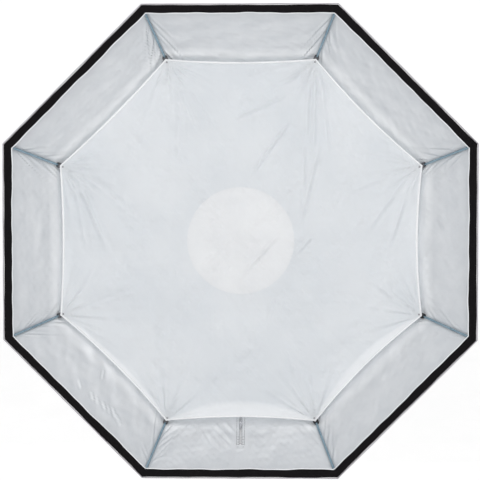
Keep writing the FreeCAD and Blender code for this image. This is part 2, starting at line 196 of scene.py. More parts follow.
class Profile:
    """The inner face of the gores along the middle of a flat: line, arc, line."""

    def __init__(self):
        hub = hub_point(0, SEAM_OFFSET)
        tip = bend_point(TIP_SLOPE, SEAM_OFFSET)
        start = np.array([GORE_START, hub[1] + (GORE_START - hub[0]) * math.tan(HUB_SLOPE)])
        rim = np.array([tip[0] + (GORE_END_DEPTH - tip[1]) / math.tan(TIP_SLOPE), GORE_END_DEPTH])
        middle = bend_point(HUB_SLOPE + BEND_TURN / 2, SEAM_OFFSET)
        scale = np.array([FLAT_RATIO, 1.0])
        self.start, self.rim = start * scale, rim * scale
        self.low, self.high = bend_point(HUB_SLOPE, SEAM_OFFSET) * scale, tip * scale
        self.centre, self.radius = circle_through(self.low, middle * scale, self.high)
        self.slope_low = self.slope_at(self.low)
        self.slope_high = self.slope_at(self.high)
        self.first = float(np.linalg.norm(self.low - self.start))
        self.arc = self.radius * (self.slope_high - self.slope_low)
        self.length = self.first + self.arc + float(np.linalg.norm(self.rim - self.high))

    def slope_at(self, point):
        return math.asin((point[0] - self.centre[0]) / self.radius)

    def at(self, s):
        """Apothem, depth and slope at arc length s."""
        s = np.asarray(s, float)
        turn = np.clip((s - self.first) / self.radius, 0, self.slope_high - self.slope_low)
        slope = self.slope_low + turn
        apothem = self.centre[0] + self.radius * np.sin(slope)
        depth = self.centre[1] - self.radius * np.cos(slope)
        before = np.minimum(s - self.first, 0)
        after = np.maximum(s - self.first - self.arc, 0)
        start_way = (self.low - self.start) / self.first
        end_way = (self.rim - self.high) / np.linalg.norm(self.rim - self.high)
        apothem = apothem + before * start_way[0] + after * end_way[0]
        depth = depth + before * start_way[1] + after * end_way[1]
        return apothem, depth, slope

    def length_at(self, apothem):
        """Arc length at a given apothem."""
        slope = math.asin((apothem - self.centre[0]) / self.radius)
        return self.first + self.radius * (slope - self.slope_low)


PROFILE = Profile()
SEAM_LENGTH = PROFILE.length
ZIP_FROM = PROFILE.length_at(ZIP_INNER)
ZIP_TO = PROFILE.length_at(ZIP_OUTER)


# ---------------------------------------------------------------- relief of the cloth

def smooth(x):
    x = np.clip(x, 0, 1)
    return x * x * (3 - 2 * x)


def waves(count, shortest, longest, seed):
    """A smooth random height over a plane, about -1 to 1, as a sum of plane waves."""
    local = np.random.default_rng(seed)
    length = np.exp(local.uniform(math.log(shortest), math.log(longest), count))
    turn = local.uniform(0, math.pi, count)
    phase = local.uniform(0, 2 * math.pi, count)

    def height(x, y):
        total = np.zeros(np.broadcast(x, y).shape)
        for k in range(count):
            along = x * math.cos(turn[k]) + y * math.sin(turn[k])
            total += np.sin(2 * math.pi * along / length[k] + phase[k])
        return total / math.sqrt(count)
    return height


def crease(x, y, start, end, width, height):
    """A soft ridge along a line, fading at both ends."""
    start, end = np.array(start), np.array(end)
    way = end - start
    length = float(np.linalg.norm(way))
    way = way / length
    along = ((x - start[0]) * way[0] + (y - start[1]) * way[1]) / length
    off = (-(x - start[0]) * way[1] + (y - start[1]) * way[0]) / width
    fade = smooth(along / 0.3) * smooth((1 - along) / 0.3)
    return height * fade * (np.exp(-off ** 2) - 0.55 * np.exp(-(off - 1.7) ** 2))


GORE_WAVES = [waves(9, 0.06, 0.25, 20 + index) for index in range(SIDES)]
GORE_FINE = [waves(14, 0.018, 0.05, 40 + index) for index in range(SIDES)]

# A crease bends no tighter than the cloth allows: its width squared over its height, at least
SHARPEST = 0.0036

# Creases that leave a rod slantwise towards the hub, irregular in place, lean, length and height
ROD_STRENGTH = {3: 1.0, 2: 0.9, 1: 0.75, 4: 0.75, 5: 0.6, 6: 0.55, 7: 0.5, 8: 0.5}
ROD_CREASES = {}
for number in range(1, SIDES + 1):
    for side in (-1, 1):
        rows = []
        position = 0.030
        while position < 0.23:
            rows.append({
                "position": position,
                "lean": random.uniform(0.9, 2.6),
                "bend": random.uniform(-14, 14),
                "start": random.uniform(0.002, 0.022),
                "reach": random.uniform(0.016, 0.050),
                "width": random.uniform(0.0034, 0.0052),
                "height": random.uniform(0.0016, 0.0044) * ROD_STRENGTH[number],
            })
            position += random.uniform(0.010, 0.034)
        ROD_CREASES[number, side] = rows

# Gores with small creases away from the rods, which need a finer mesh there
FINE_GORES = ("bottom", "lower_left")

# Short creases: across and apothem at both ends, width, height
GORE_CREASES = {
    "bottom": [
        (-0.100, 0.590, -0.020, 0.655, 0.0056, 0.0020),
        (-0.085, 0.622, -0.030, 0.668, 0.0054, 0.0016),
        (-0.120, 0.615, -0.060, 0.672, 0.0055, 0.0016),
        (-0.060, 0.585, -0.014, 0.632, 0.0056, 0.0016),
        (-0.150, 0.600, -0.095, 0.665, 0.0060, 0.0012),
        (-0.018, 0.672, 0.012, 0.668, 0.0040, 0.0010),
    ],
    "lower_left": [
        (-0.055, 0.682, -0.023, 0.696, 0.0032, 0.0015),
        (0.000, 0.680, 0.032, 0.694, 0.0032, 0.0025),
        (0.021, 0.679, 0.051, 0.692, 0.0032, 0.0020),
        (0.049, 0.677, 0.082, 0.691, 0.0032, 0.0027),
        (0.068, 0.674, 0.099, 0.688, 0.0032, 0.0021),
        (0.085, 0.669, 0.123, 0.687, 0.0032, 0.0028),
        (0.107, 0.675, 0.138, 0.689, 0.0032, 0.0022),
        (0.123, 0.678, 0.152, 0.692, 0.0032, 0.0015),
        (-0.020, 0.612, 0.004, 0.640, 0.0034, 0.0014),
    ],
    "top": [(-0.05, 0.70, 0.02, 0.685, 0.006, 0.0012), (-0.12, 0.69, -0.02, 0.66, 0.008, 0.0010)],
    "left": [(-0.10, 0.64, 0.08, 0.66, 0.008, 0.0014), (0.05, 0.62, 0.12, 0.68, 0.007, 0.0012)],
    "right": [(0.02, 0.66, 0.12, 0.64, 0.008, 0.0012)],
    "lower_right": [(-0.10, 0.70, -0.04, 0.66, 0.007, 0.0012)],
    "upper_right": [(0.05, 0.66, 0.13, 0.69, 0.008, 0.0012)],
    "upper_left": [(-0.12, 0.64, 0.00, 0.66, 0.009, 0.0012)],
}


def gore_relief(index, s, across):
    """How far the cloth stands in from its plain face."""
    name = FLAT_NAMES[index]
    apothem, _, _ = PROFILE.at(s)
    half = apothem * HALF_TAN
    from_rod = np.maximum(half - np.abs(across), 0)
    taut = smooth(from_rod / 0.05)
    rim_fade = smooth((SEAM_LENGTH - s) / 0.02)
    relief = 0.0012 * GORE_WAVES[index](s, across) * taut + 0.00040 * GORE_FINE[index](s, across) * taut
    if name != "bottom":
        relief = relief + 0.006 * taut * (1 - (across / half) ** 2) * smooth((SEAM_LENGTH - s) / 0.25)
    else:
        relief = relief * smooth((np.abs(across) - 0.016) / 0.03)
    from_rim = SEAM_LENGTH - s
    for side in (-1, 1):
        number = rod_beside(index, side)
        here = np.where(side * across > 0, from_rod, half + np.abs(across))
        for row in ROD_CREASES[number, side]:
            path = row["position"] + row["lean"] * here + row["bend"] * here ** 2
            off = (from_rim - path) / (row["width"] * math.hypot(1, row["lean"]))
            ridge = np.exp(-off ** 2) - 0.6 * np.exp(-(off - 1.8) ** 2)
            fade = smooth((here - 0.5 * row["start"]) / (row["start"] + 0.004))
            fade = fade * np.exp(-(here / row["reach"]) ** 2)
            relief = relief + min(row["height"], row["width"] ** 2 / SHARPEST) * ridge * fade
    for x0, y0, x1, y1, width, height in GORE_CREASES.get(name, []):
        relief = relief + crease(across, apothem, (x0, y0), (x1, y1), width, height)
    return relief * rim_fade


def gore_point(index, s, across, inset=0.0):
    """Points on a gore; inset moves them in from its inner face."""
    apothem, depth, slope = PROFILE.at(s)
    lift = gore_relief(index, s, across) + inset
    return place(flat_angle(index), apothem - lift * np.sin(slope), across, depth + lift * np.cos(slope))


# The baffle: creases as (x, z) from its centre at both ends, width and height
BAFFLE_CREASES = [
    ((0.165, 0.395), (0.022, 0.200), 0.0050, 0.0034),
    ((0.170, 0.480), (-0.040, 0.388), 0.0055, 0.0028),
    ((0.225, 0.560), (0.060, 0.470), 0.0060, 0.0022),
    ((0.262, 0.350), (0.182, 0.010), 0.0070, 0.0034),
    ((0.222, 0.530), (0.210, 0.300), 0.0060, 0.0026),
    ((0.240, 0.560), (0.236, 0.250), 0.0055, 0.0024),
    ((0.258, 0.540), (0.285, 0.270), 0.0065, 0.0022),
    ((0.205, 0.330), (0.200, 0.060), 0.0060, 0.0024),
    ((0.235, 0.020), (0.165, -0.060), 0.0060, 0.0022),
    ((-0.010, 0.030), (-0.130, -0.090), 0.0080, 0.0012),
    ((0.135, 0.030), (0.010, -0.100), 0.0065, 0.0022),
    ((0.100, -0.010), (-0.010, -0.130), 0.0055, 0.0016),
    ((-0.195, 0.540), (-0.205, 0.220), 0.0090, 0.0030),
    ((-0.200, 0.530), (-0.085, 0.350), 0.0080, 0.0026),
    ((-0.215, 0.520), (-0.140, 0.330), 0.0060, 0.0018),
    ((-0.550, 0.240), (-0.420, -0.060), 0.0085, 0.0034),
    ((-0.540, 0.235), (-0.330, 0.060), 0.0080, 0.0026),
    ((-0.545, 0.220), (-0.500, -0.040), 0.0060, 0.0022),
    ((-0.530, 0.200), (-0.440, -0.020), 0.0050, 0.0018),
    ((0.545, 0.225), (0.400, 0.020), 0.0080, 0.0030),
    ((0.550, 0.210), (0.470, -0.060), 0.0065, 0.0026),
    ((0.540, 0.235), (0.330, 0.150), 0.0080, 0.0020),
    ((-0.560, -0.230), (-0.470, -0.080), 0.0070, 0.0020),
    ((-0.545, -0.235), (-0.300, -0.150), 0.0080, 0.0018),
    ((0.110, -0.170), (0.085, -0.270), 0.0060, 0.0016),
    ((0.555, -0.240), (0.420, -0.120), 0.0080, 0.0018),
    ((-0.220, -0.560), (-0.120, -0.300), 0.0090, 0.0016),
    ((0.230, -0.560), (0.140, -0.330), 0.0090, 0.0016),
]
BAFFLE_BROAD = waves(10, 0.14, 0.42, 3)
BAFFLE_MEDIUM = waves(22, 0.030, 0.085, 4)
BAFFLE_FINE = waves(26, 0.011, 0.028, 5)
FAN = [(random.uniform(0, 2 * math.pi), random.uniform(0, 2 * math.pi)) for _ in range(SIDES)]


def edge_inset(index, across):
    """Distance from the axis to the bowed edge of one side."""
    share = np.clip(across / (BAFFLE_APOTHEM * HALF_TAN), -1, 1)
    return BAFFLE_APOTHEM - EDGE_BOW[FLAT_NAMES[index]] * (1 - share ** 2)


def baffle_edge_radius(theta):
    """Distance from the centre to the edge in each direction."""
    radius = np.zeros_like(theta)
    for index in range(SIDES):
        turn = (theta - flat_angle(index) + math.pi) % (2 * math.pi) - math.pi
        inside = np.abs(turn) <= HALF_ANGLE + 1e-9
        across = BAFFLE_APOTHEM * np.tan(np.clip(turn, -HALF_ANGLE, HALF_ANGLE))
        radius = np.where(inside, edge_inset(index, across) / np.cos(turn), radius)
    return radius


def curl_share(x, z):
    """How far into the turned-out edge a point is, and that edge's height: both 0 elsewhere."""
    share = np.zeros(np.broadcast(x, z).shape)
    rise = np.zeros_like(share)
    for index, name in enumerate(FLAT_NAMES):
        out, side = direction(flat_angle(index)), sideways(flat_angle(index))
        apothem = x * out[0] + z * out[2]
        across = x * side[0] + z * side[2]
        full = np.clip(1 - (across / (BAFFLE_APOTHEM * HALF_TAN * 0.97)) ** 2, 0, 1)
        width = EDGE_CURL[name] * full ** 0.8 + 0.0008
        into = np.clip(1 - (edge_inset(index, across) - apothem) / width, 0, 1.2)
        share = np.maximum(share, into * np.where(full > 0, 1, 0))
        rise = rise + 0.42 * width * (np.sqrt(into ** 2 + 0.004) - math.sqrt(0.004)) * smooth(full * 6)
    return share, rise


def baffle_height(x, z):
    """How far forward the baffle's cloth stands from its plane."""
    from_centre = np.hypot(x, z)
    height = 0.0042 * BAFFLE_BROAD(x, z)
    patch = 0.5 + 0.5 * np.clip(BAFFLE_BROAD(z * 1.3 + 0.4, x * 1.3), -1, 1)
    height = height + 0.00115 * BAFFLE_MEDIUM(x, z) * (0.4 + patch)
    height = height + 0.00034 * BAFFLE_FINE(x, z) * (0.4 + patch)
    for number in range(1, SIDES + 1):
        angle = corner_angle(number)
        corner_x, corner_z = BAFFLE_CORNER * math.cos(angle), BAFFLE_CORNER * math.sin(angle)
        reach = np.hypot(x - corner_x, z - corner_z)
        turn = np.arctan2(z - corner_z, x - corner_x) - (angle + math.pi)
        turn = (turn + math.pi) % (2 * math.pi) - math.pi
        first, second = FAN[number - 1]
        pleat = np.cos(17 * turn + first) + 0.7 * np.cos(29 * turn + second) + 0.4 * np.cos(43 * turn + first)
        height = height + 0.0024 * pleat * smooth(reach / 0.08) * np.exp(-(reach / 0.15) ** 1.3)
    for start, end, width, lift in BAFFLE_CREASES:
        height = height + crease(x, z, start, end, width, 1.5 * lift)
    height = height - 0.008 * (1 - np.clip(from_centre / BAFFLE_APOTHEM, 0, 1) ** 2)
    _, rise = curl_share(x, z)
    edge = baffle_edge_radius(np.arctan2(z, x) % (2 * math.pi))
    return height * smooth((edge - from_centre) / 0.03) + rise


def baffle_point(x, z, forward=0.0):
    return np.stack([x, -(BAFFLE_DEPTH + baffle_height(x, z) + forward), z], axis=-1)


# ---------------------------------------------------------------- meshes

def halves(quads):
    """Two triangles from each quad."""
    return np.concatenate([quads[:, [0, 1, 2]], quads[:, [0, 2, 3]]])


def grid_faces(rows, columns, offset=0, flip=False):
    """Triangles over a grid, cut the same way whichever side they face."""
    index = np.arange(rows * columns).reshape(rows, columns) + offset
    quads = np.stack([index[:-1, :-1], index[1:, :-1], index[1:, 1:], index[:-1, 1:]], axis=-1).reshape(-1, 4)
    triangles = halves(quads)
    return triangles[:, ::-1] if flip else triangles


def link(name, vertices, faces, materials, face_materials=None, normals=None, uv=None):
    """A mesh object; normals are per corner of each face, uv per vertex."""
    mesh = bpy.data.meshes.new(name)
    mesh.from_pydata(np.asarray(vertices, float).tolist(), [], [list(map(int, face)) for face in faces])
    for material in materials:
        mesh.materials.append(material)
    mesh.polygons.foreach_set("use_smooth", [True] * len(mesh.polygons))
    if face_materials is not None:
        mesh.polygons.foreach_set("material_index", np.asarray(face_materials, np.int32))
    if uv is not None:
        layer = mesh.uv_layers.new(name="cut")
        corner = np.empty(len(mesh.loops), np.int32)
        mesh.loops.foreach_get("vertex_index", corner)
        layer.data.foreach_set("uv", np.asarray(uv, float)[corner].ravel())
    if normals is not None:
        mesh.normals_split_custom_set(np.asarray(normals, float).tolist())
    mesh.update()
    piece = bpy.data.objects.new(name, mesh)
    bpy.context.scene.collection.objects.link(piece)
    return piece


def unit(vectors):
    return vectors / np.maximum(np.linalg.norm(vectors, axis=-1, keepdims=True), 1e-12)


def shell(name, front, normal, back, uv, materials):
    """A thin closed sheet between two grids; the front takes the first material, the rest the second."""
    rows, columns = front.shape[:2]
    count = rows * columns
    vertices = np.concatenate([front.reshape(-1, 3), back.reshape(-1, 3)])
    index = np.arange(count).reshape(rows, columns)
    quad = grid_faces(rows, columns)
    at = (rows // 2) * (columns - 1) + columns // 2
    a, b, c = (vertices[quad[at][k]] for k in range(3))
    flip = float(np.cross(b - a, c - a) @ normal[rows // 2, columns // 2]) < 0
    faces = [grid_faces(rows, columns, 0, flip), grid_faces(rows, columns, count, not flip)]
    face_normals = [normal.reshape(-1, 3)[faces[0]], -normal.reshape(-1, 3)[faces[1] - count]]
    kinds = [np.zeros(len(faces[0]), int), np.ones(len(faces[1]), int)]
    edges = [index[0, :], index[-1, :], index[:, 0], index[:, -1]]
    for line in edges:
        wall = np.stack([line[:-1], line[1:], line[1:] + count, line[:-1] + count], axis=-1)
        p = vertices[wall]
        out = unit(np.cross(p[:, 1] - p[:, 0], p[:, 2] - p[:, 0]))
        outward = p.mean(axis=1) - front.reshape(-1, 3).mean(axis=0)
        turn = np.einsum("ij,ij->i", out, outward) < 0
        wall[turn] = wall[turn][:, ::-1]
        out[turn] = -out[turn]
        faces.append(halves(wall))
        face_normals.append(np.repeat(np.concatenate([out, out])[:, None, :], 3, axis=1))
        kinds.append(np.ones(2 * len(wall), int))
    uv = np.concatenate([uv.reshape(-1, 2), uv.reshape(-1, 2)])
    return link(name, vertices, np.concatenate(faces), materials, np.concatenate(kinds),
                np.concatenate([n.reshape(-1, 3) for n in face_normals]), uv)


def surface_normals(point, u, v, toward, step=0.0006):
    """Normals of a surface given as a function of two coordinates, on the side that faces toward."""
    du = point(u + step, v) - point(u - step, v)
    dv = point(u, v + step) - point(u, v - step)
    normal = unit(np.cross(du, dv))
    facing = np.sum(normal * toward, axis=-1, keepdims=True)
    return np.where(facing < 0, -normal, normal)


def tidy_normals(piece):
    """Turn every face of a closed mesh outwards."""
    work = bmesh.new()
    work.from_mesh(piece.data)
    bmesh.ops.recalc_face_normals(work, faces=work.faces)
    work.to_mesh(piece.data)
    work.free()


def tube(name, path, side, over, half_side, half_over, materials, around=12):
    """A closed tube of oval section along a path; the half widths are numbers or one per point."""
    path = np.asarray(path, float)
    count = len(path)
    half_side = np.broadcast_to(half_side, count)[:, None, None]
    half_over = np.broadcast_to(half_over, count)[:, None, None]
    length = np.concatenate([[0], np.cumsum(np.linalg.norm(np.diff(path, axis=0), axis=1))])
    turn = np.arange(around) * 2 * math.pi / around
    ring = (np.cos(turn)[None, :, None] * side[:, None, :] * half_side
            + np.sin(turn)[None, :, None] * over[:, None, :] * half_over)
    index = np.arange(count * around).reshape(count, around)
    after = np.roll(index, -1, axis=1)
    faces = np.stack([index[:-1], after[:-1], after[1:], index[1:]], axis=-1).reshape(-1, 4).tolist()
    faces.append(index[0][::-1].tolist())
    faces.append(index[-1].tolist())
    uv = pairs(length[:, None], turn[None, :] / 300)
    piece = link(name, (path[:, None, :] + ring).reshape(-1, 3), faces, materials, uv=uv.reshape(-1, 2))
    tidy_normals(piece)
    return piece


def lathe(name, outline, angle, radius, depth, materials, around=24):
    """A small turned piece about a forward axis; outline is (radius, forward) from rim to middle."""
    centre = place(angle, np.array(radius), np.array(0.0), np.array(depth))
    turn = np.arange(around) * 2 * math.pi / around
    rings = [centre + r * (np.cos(turn)[:, None] * direction(angle) + np.sin(turn)[:, None] * sideways(angle))
             + lift * FORWARD for r, lift in outline]
    index = np.arange(len(outline) * around).reshape(len(outline), around)
    after = np.roll(index, -1, axis=1)
    faces = np.stack([index[:-1], after[:-1], after[1:], index[1:]], axis=-1).reshape(-1, 4).tolist()
    faces += [index[0][::-1].tolist(), index[-1].tolist()]
    piece = link(name, np.concatenate(rings), faces, materials)
    tidy_normals(piece)
    return piece


def strip(name, front, toward, thickness, uv, materials):
    """A thin closed sheet whose normals come from its own grid."""
    normal = unit(np.cross(np.gradient(front, axis=0), np.gradient(front, axis=1)))
    facing = np.sum(normal * toward, axis=-1, keepdims=True)
    normal = np.where(facing < 0, -normal, normal)
    return shell(name, front, normal, front - normal * thickness, uv, materials)


# ---------------------------------------------------------------- materials

def new_material(name, roughness=0.5, gloss=0.5, metallic=0.0):
    material = bpy.data.materials.new(name)
    material.use_nodes = True
    nodes, links = material.node_tree.nodes, material.node_tree.links
    nodes.clear()
    output = nodes.new("ShaderNodeOutputMaterial")
    shader = nodes.new("ShaderNodeBsdfPrincipled")
    shader.inputs["Roughness"].default_value = roughness
    shader.inputs["Specular IOR Level"].default_value = gloss
    shader.inputs["Metallic"].default_value = metallic
    links.new(shader.outputs["BSDF"], output.inputs["Surface"])
    return material, nodes, links, shader


def let_light_through(nodes, links, shader, colour, share):
    """Mix in the light that comes through a thin cloth from behind."""
    behind = nodes.new("ShaderNodeBsdfTranslucent")
    links.new(colour, behind.inputs["Color"])
    mix = nodes.new("ShaderNodeMixShader")
    mix.inputs["Fac"].default_value = share
    links.new(shader.outputs["BSDF"], mix.inputs[1])
    links.new(behind.outputs["BSDF"], mix.inputs[2])
    output = [node for node in nodes if node.type == "OUTPUT_MATERIAL"][0]
    links.new(mix.outputs["Shader"], output.inputs["Surface"])


def texture_place(nodes, links, uv, scale=(1, 1, 1)):
    source = nodes.new("ShaderNodeTexCoord")
    mapping = nodes.new("ShaderNodeMapping")
    mapping.inputs["Scale"].default_value = scale
    links.new(source.outputs["UV" if uv else "Object"], mapping.inputs["Vector"])
    return mapping.outputs["Vector"]


def noise(nodes, links, vector, scale, detail=3.0, roughness=0.55, distortion=0.0):
    node = nodes.new("ShaderNodeTexNoise")
    node.inputs["Scale"].default_value = scale
    node.inputs["Detail"].default_value = detail
    node.inputs["Roughness"].default_value = roughness
    node.inputs["Distortion"].default_value = distortion
    links.new(vector, node.inputs["Vector"])
    return node.outputs["Fac"]


def ramp(nodes, links, value, low, high, start=0.35, end=0.65):
    node = nodes.new("ShaderNodeValToRGB")
    node.color_ramp.elements[0].position = start
    node.color_ramp.elements[1].position = end
    node.color_ramp.elements[0].color = (*low, 1)
    node.color_ramp.elements[1].color = (*high, 1)
    links.new(value, node.inputs["Fac"])
    return node.outputs["Color"]


def threads(nodes, links, vector, period):
    """The height of a plain weave: warp and weft ribs crossing."""
    ribs = []
    for axis in ("X", "Y"):
        wave = nodes.new("ShaderNodeTexWave")
        wave.bands_direction = axis
        wave.inputs["Scale"].default_value = 0.314 / period
        wave.inputs["Distortion"].default_value = 0.6
        wave.inputs["Detail"].default_value = 1.0
        links.new(vector, wave.inputs["Vector"])
        ribs.append(wave.outputs["Fac"])
    node = nodes.new("ShaderNodeMath")
    node.operation = "MAXIMUM"
    links.new(ribs[0], node.inputs[0])
    links.new(ribs[1], node.inputs[1])
    return node.outputs[0]


def bump(nodes, links, shader, heights):
    """Chain bumps: (height socket, strength, distance)."""
    previous = None
    for height, strength, distance in heights:
        node = nodes.new("ShaderNodeBump")
        node.inputs["Strength"].default_value = strength
        node.inputs["Distance"].default_value = distance
        links.new(height, node.inputs["Height"])
        if previous is not None:
            links.new(previous, node.inputs["Normal"])
        previous = node.outputs["Normal"]
    links.new(previous, shader.inputs["Normal"])


def cloth(name, low, high, roughness, weave=0.0009, weave_depth=0.00012, crinkle=0.0006, crinkle_scale=60,
          stretch=(1, 1, 1), metallic=0.0, mottle=9.0, uv=True, through=0.0, gloss=0.5):
    material, nodes, links, shader = new_material(name, roughness, gloss, metallic)
    plain = texture_place(nodes, links, uv)
    pulled = texture_place(nodes, links, uv, stretch)
    colour = ramp(nodes, links, noise(nodes, links, plain, mottle, 4.0), low, high)
    links.new(colour, shader.inputs["Base Color"])
    if through:
        let_light_through(nodes, links, shader, colour, through)
    bump(nodes, links, shader, [
        (threads(nodes, links, plain, weave), 0.5, weave_depth),
        (noise(nodes, links, pulled, crinkle_scale, 4.0, 0.6, 0.3), 0.6, crinkle),
    ])
    return material


def blend(nodes, links, share, colour, other):
    """A colour that goes over to a plain one as share rises."""
    mix = nodes.new("ShaderNodeMix")
    mix.data_type = "RGBA"
    first, second = [socket for socket in mix.inputs if socket.type == "RGBA"]
    links.new(share, mix.inputs["Factor"])
    links.new(colour, first)
    second.default_value = (*other, 1)
    return [socket for socket in mix.outputs if socket.type == "RGBA"][0]


def silver_cloth():
    """Silver coated cloth. Behind the baffle, and for a short way past its edge, its colour is painted
    brighter: painted light that lifts the shade the baffle casts there.
    """
    material = cloth("silver_cloth", (0.600, 0.620, 0.645), (0.650, 0.667, 0.689), 0.48, 0.0011, 0.00006,
                     0.0011, 48, (1.0, 0.45, 1), metallic=0.30, mottle=14.0)
    nodes, links = material.node_tree.nodes, material.node_tree.links
    shader = [node for node in nodes if node.type == "BSDF_PRINCIPLED"][0]
    cloth_colour = shader.inputs["Base Color"].links[0].from_socket
    split = nodes.new("ShaderNodeSeparateXYZ")
    links.new(texture_place(nodes, links, True), split.inputs["Vector"])
    # Painted light: fully bright up to the baffle's edge, fading to the cloth's own colour over the next 55
    # mm
    painted_light = ramp(nodes, links, split.outputs["Y"], (1, 1, 1), (0, 0, 0), PAINTED_LIGHT_EDGE, PAINTED_LIGHT_EDGE + 0.055)
    links.new(blend(nodes, links, painted_light, cloth_colour, (0.93, 0.945, 0.96)), shader.inputs["Base Color"])
    return material


def baffle_cloth():
    """Thin white cloth; where it is turned out at an edge it lies double, and there its colour is painted
    whiter: partly for the double cloth, partly as painted light on the curled edge.
    """
    material, nodes, links, shader = new_material("baffle_cloth", 0.75, 0.2)
    plain = texture_place(nodes, links, False)
    patches = noise(nodes, links, plain, 5.0, 4.0)
    single = ramp(nodes, links, patches, (0.880, 0.900, 0.920), (0.915, 0.930, 0.945))
    # The turned-out edge is painted whiter, partly for the double cloth and partly as painted light on the
    # curl
    double_layer_and_light = nodes.new("ShaderNodeAttribute")
    double_layer_and_light.attribute_name = "double_layer_and_light"
    result = blend(nodes, links, double_layer_and_light.outputs["Fac"], single, (0.955, 0.965, 0.975))
    links.new(result, shader.inputs["Base Color"])
    let_light_through(nodes, links, shader, result, 0.50)
    bump(nodes, links, shader, [
        (threads(nodes, links, plain, 0.0010), 0.3, 0.00008),
        (noise(nodes, links, plain, 55, 5.0, 0.6, 0.4), 0.5, 0.0009),
    ])
    return material


def fuzzy_tape():
    """Hook-and-loop pile: matte black with a short tangled nap."""
    material, nodes, links, shader = new_material("loop_tape", 1.0, 0.06)
    plain = texture_place(nodes, links, False)
    links.new(ramp(nodes, links, noise(nodes, links, plain, 420, 5.0, 0.7), (0.003, 0.0028, 0.003),
                   (0.013, 0.0115, 0.013)), shader.inputs["Base Color"])
    bump(nodes, links, shader, [(noise(nodes, links, plain, 800, 6.0, 0.75), 0.9, 0.0009)])
    return material


def metal(name, low, high, roughness, metallic=1.0, scale=60, stretch=(1, 1, 1), scratch=0.00002):
    material, nodes, links, shader = new_material(name, metallic=metallic)
    pulled = texture_place(nodes, links, False, stretch)
    tint = ramp(nodes, links, noise(nodes, links, pulled, scale, 4.0), low, high)
    links.new(tint, shader.inputs["Base Color"])
    rough = ramp(nodes, links, noise(nodes, links, pulled, scale * 4, 5.0), (roughness * 0.8,) * 3,
                 (min(roughness * 1.25, 1),) * 3)
    links.new(rough, shader.inputs["Roughness"])
    bump(nodes, links, shader, [(noise(nodes, links, pulled, scale * 12, 3.0), 0.3, scratch)])
    return material


def worn_paint(name, colour, edge):
    """Satin powder coat, a little brighter where corners are rubbed."""
    material, nodes, links, shader = new_material(name)
    plain = texture_place(nodes, links, False)
    geometry = nodes.new("ShaderNodeNewGeometry")
    wear = ramp(nodes, links, geometry.outputs["Pointiness"], colour, edge, 0.52, 0.60)
    links.new(wear, shader.inputs["Base Color"])
    rough = ramp(nodes, links, noise(nodes, links, plain, 300, 4.0), (0.42,) * 3, (0.58,) * 3)
    links.new(rough, shader.inputs["Roughness"])
    bump(nodes, links, shader, [(noise(nodes, links, plain, 1800, 2.0), 0.35, 0.00006)])
    return material


def plastic(name, low, high, roughness):
    material, nodes, links, shader = new_material(name)
    plain = texture_place(nodes, links, False)
    shader.inputs["Roughness"].default_value = roughness
    links.new(ramp(nodes, links, noise(nodes, links, plain, 40, 3.0), low, high), shader.inputs["Base Color"])
    bump(nodes, links, shader, [(noise(nodes, links, plain, 2500, 2.0), 0.3, 0.00005)])
    return material


# Arc length of the gores at the baffle's edge, where the silver's painted light starts to fade
PAINTED_LIGHT_EDGE = PROFILE.length_at(BAFFLE_APOTHEM)
SILVER = silver_cloth()
BLACK = cloth("black_cloth", (0.008, 0.008, 0.009), (0.013, 0.013, 0.0145), 0.62, 0.0010, 0.00005, 0.0010, 60,
              gloss=0.28)
BLACK_OBJECT = cloth("black_cloth_collar", (0.008, 0.008, 0.009), (0.014, 0.014, 0.0155),
                     0.65, 0.0010, 0.00008,
                     0.0006, 90, uv=False, gloss=0.28)
LOOP = fuzzy_tape()
PIPING = cloth("piping_cloth", (0.37, 0.35, 0.38), (0.46, 0.44, 0.48),
               0.6, 0.0006, 0.0001, 0.0003, 120, uv=False)
FOLD_EDGE = cloth("rim_fold", (0.80, 0.82, 0.84), (0.88, 0.90, 0.92), 0.45, 0.0008, 0.0001, 0.0005, 90,
                  metallic=0.15, uv=False)
BAFFLE = baffle_cloth()
DISC = cloth("disc_cloth", (0.91, 0.918, 0.93), (0.935, 0.942, 0.95), 0.75, 0.0010, 0.00008, 0.0007, 55,
             uv=False, through=0.42)
HEM = cloth("hem_tape", (0.76, 0.77, 0.785), (0.83, 0.84, 0.85), 0.7, 0.0007, 0.0001, 0.0003, 140, uv=False)
WEBBING = cloth("webbing", (0.022, 0.022, 0.025), (0.045, 0.045, 0.050), 0.7, 0.0013, 0.0003, 0.0003, 120)
WORN_WEBBING = cloth("webbing_worn", (0.12, 0.12, 0.13), (0.22, 0.225, 0.24),
                     0.7, 0.0013, 0.0003, 0.0003, 120)
ZIP_TAPE = cloth("zip_tape", (0.42, 0.43, 0.45), (0.50, 0.51, 0.53), 0.7, 0.0007, 0.00015, 0.0002, 150)
THREAD = cloth("thread", (0.10, 0.10, 0.11), (0.18, 0.18, 0.19), 0.6, 0.0004, 0.0001, 0.0001, 300, uv=False)
COIL = plastic("zip_coil", (0.50, 0.505, 0.52), (0.62, 0.625, 0.64), 0.45)
COIL_OUTSIDE = plastic("zip_coil_outside", (0.020, 0.020, 0.022), (0.034, 0.034, 0.037), 0.45)
ROD = metal("rod_steel", (0.22, 0.32, 0.39), (0.31, 0.42, 0.49), 0.34, 0.80, 30)
ALUMINIUM = metal("ring_steel", (0.55, 0.56, 0.58), (0.68, 0.69, 0.71), 0.30, 1.0, 50, (1, 6, 1))
BRIGHT = metal("screw_steel", (0.48, 0.48, 0.50), (0.62, 0.62, 0.64), 0.28, 1.0, 90)
PLATED = metal("zip_metal", (0.62, 0.62, 0.64), (0.78, 0.78, 0.80), 0.18, 1.0, 120)
DARK_SNAP = metal("snap_metal", (0.30, 0.30, 0.315), (0.44, 0.44, 0.455), 0.35, 0.7, 150)
PAINT = worn_paint("ring_black", (0.016, 0.016, 0.018), (0.11, 0.11, 0.115))
